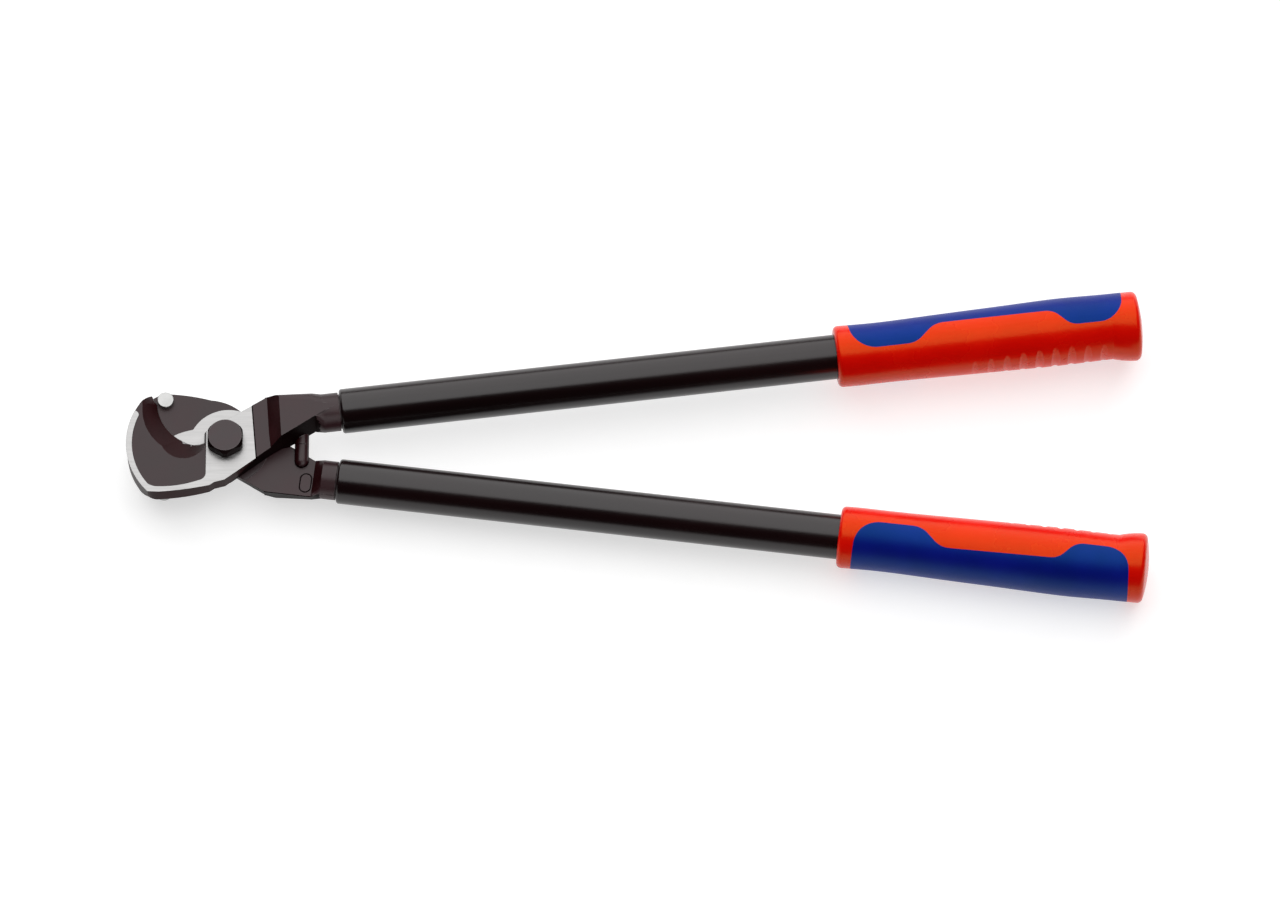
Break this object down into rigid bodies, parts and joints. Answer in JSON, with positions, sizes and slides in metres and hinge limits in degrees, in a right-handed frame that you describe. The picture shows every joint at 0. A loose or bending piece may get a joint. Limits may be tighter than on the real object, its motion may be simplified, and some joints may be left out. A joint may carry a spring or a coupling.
{
  "type": "cable shears",
  "caption": "Closed two-hand cable shears: crossed crescent blades on a hexagon bolt, dark tube handles and red grips with blue soft inlays.",
  "frame": {"origin": "middle of the closed tool's footprint, on the surface that it lies on", "axes": "+X from the jaws to the grips, +Y towards the front blade's (upper) handle, +Z along the pivot bolt towards its head"},
  "size_m": [0.5, 0.1609, 0.041],
  "materials": {
    "forged_steel": "dark forged tool steel, ground bright on the hub, rims and mating faces",
    "pin_steel": "hardened round steel, ground",
    "spring_pin_steel": "rolled spring steel, blackened",
    "coated_tube": "aluminium tube with a dark satin coating",
    "plug_plastic": "moulded black polyethylene",
    "grip_red": "moulded red plastic, satin",
    "grip_blue": "soft blue elastomer, fine grain",
    "black_bolt_steel": null,
    "bush_bronze": "turned bronze",
    "spring_steel": "hardened spring steel, oiled",
    "washer_steel": "zinc-plated washer steel",
    "locking_nylon": "natural nylon"
  },
  "bodies": {
    "rear_lever": {"rear_blade": "forged_steel", "rear_stop_pin": "pin_steel", "pivot_bolt": "black_bolt_steel", "pivot_bush": "bush_bronze", "disc_spring": "spring_steel", "pivot_washer": "washer_steel", "pivot_nut": "black_bolt_steel", "nut_locking_ring": "locking_nylon", "lower_tang_pin": "spring_pin_steel", "lower_tube": "coated_tube", "lower_tube_plug": "plug_plastic", "lower_grip": "grip_red", "lower_grip_inlay": "grip_blue"},
    "front_lever": {"front_blade": "forged_steel", "front_stop_pin": "pin_steel", "upper_tang_pin": "spring_pin_steel", "upper_tube": "coated_tube", "upper_tube_plug": "plug_plastic", "upper_grip": "grip_red", "upper_grip_inlay": "grip_blue"}
  },
  "joints": [
    {"name": "blade_pivot", "type": "hinge", "parent": "rear_lever", "child": "front_lever", "pos_m": [-0.2013, 0, 0.02052], "axis": [0, 0, 1], "range_deg": [0, 90]}
  ]
}
